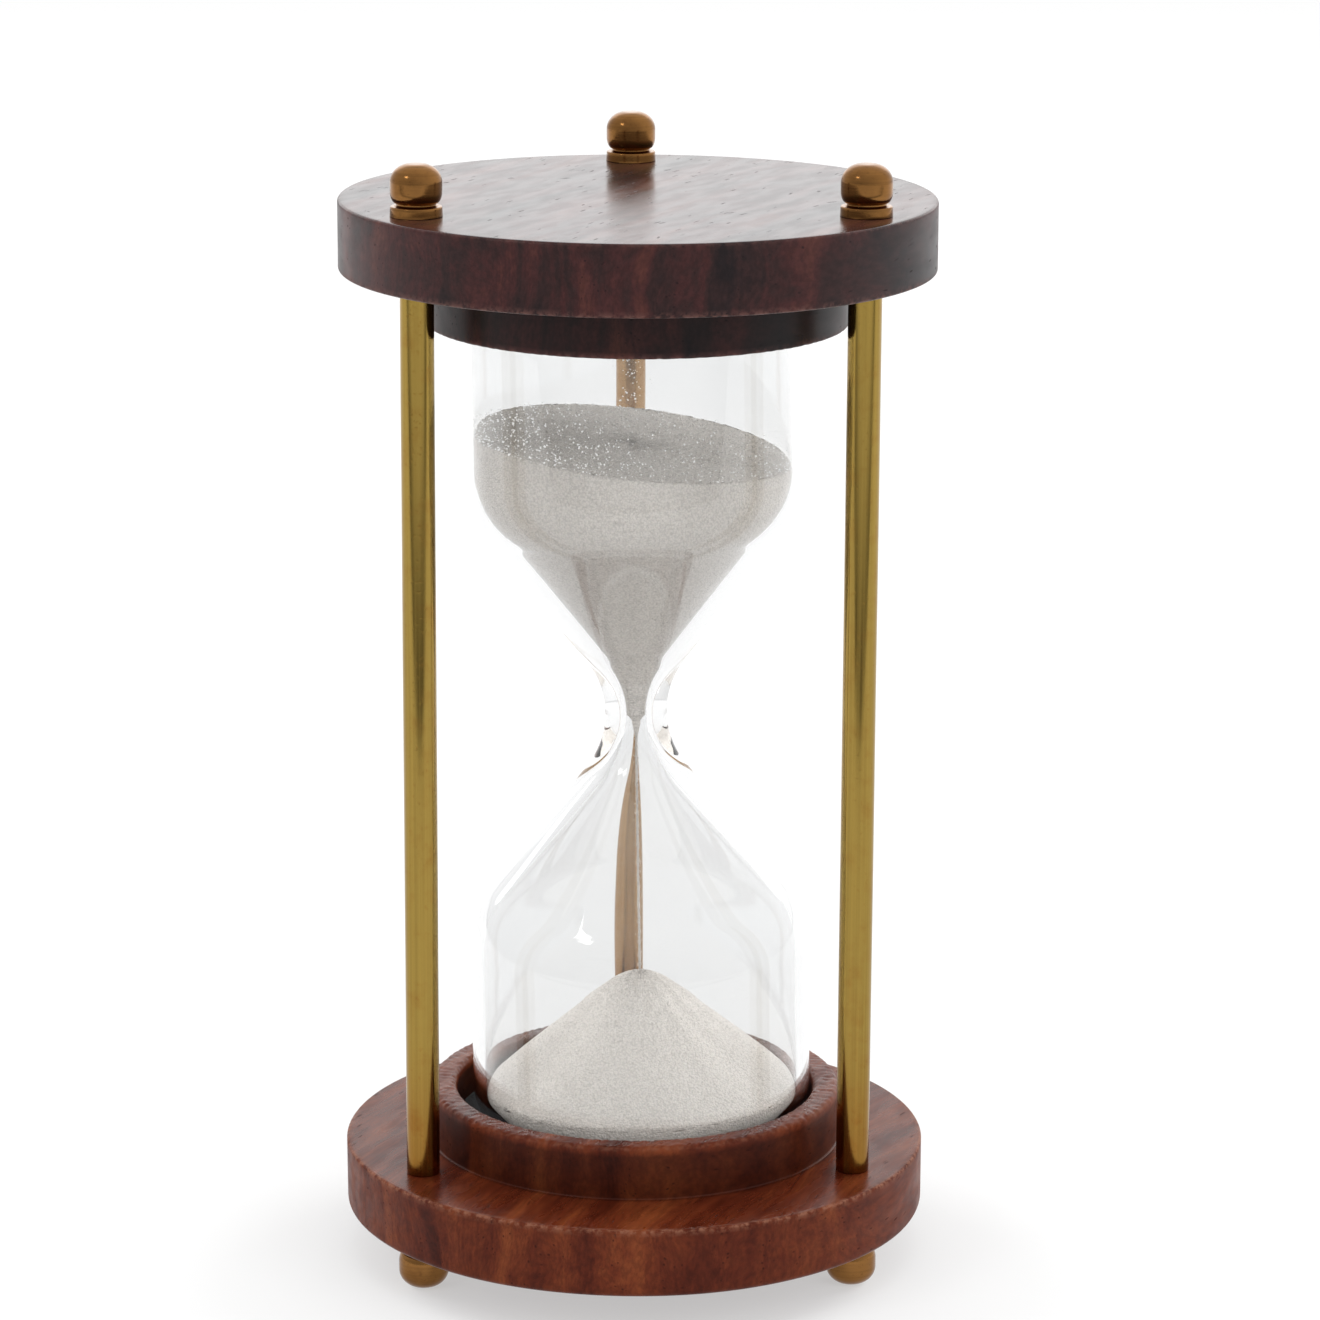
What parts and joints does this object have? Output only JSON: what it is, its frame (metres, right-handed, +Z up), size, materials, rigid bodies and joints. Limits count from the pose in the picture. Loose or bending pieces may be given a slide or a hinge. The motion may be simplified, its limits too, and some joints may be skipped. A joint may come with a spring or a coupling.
{
  "type": "sand timer",
  "caption": "Sand timer with a waisted blown glass held between round turned wooden plates by brass pillars with ball nuts and ball feet.",
  "frame": {"origin": "on the table, under the middle of the plates, level with the flats of the foot nuts", "axes": "+Z up along the pillars, -Y towards the viewer with two pillars on that side and one behind, +X to the right"},
  "size_m": [0.089, 0.089, 0.1714],
  "materials": {
    "wood_base": "gloss",
    "wood_top": "gloss",
    "pillar_brass": "satin",
    "nut_brass": "satin",
    "clear_glass": "polished",
    "cork": "matte",
    "foam": "matte",
    "sand": "matte"
  },
  "bodies": {
    "root": {"base_plate": "wood_base", "top_plate": "wood_top", "pillar_left": "pillar_brass", "pillar_right": "pillar_brass", "pillar_rear": "pillar_brass", "foot_nut_left": "nut_brass", "foot_nut_right": "nut_brass", "foot_nut_rear": "nut_brass", "top_nut_left": "nut_brass", "top_nut_right": "nut_brass", "top_nut_rear": "nut_brass", "glass": "clear_glass", "filler_cork": "cork", "base_pad": "foam", "top_pad": "foam", "sand_upper": "sand", "sand_stream": "sand", "sand_lower": "sand"}
  },
  "joints": []
}
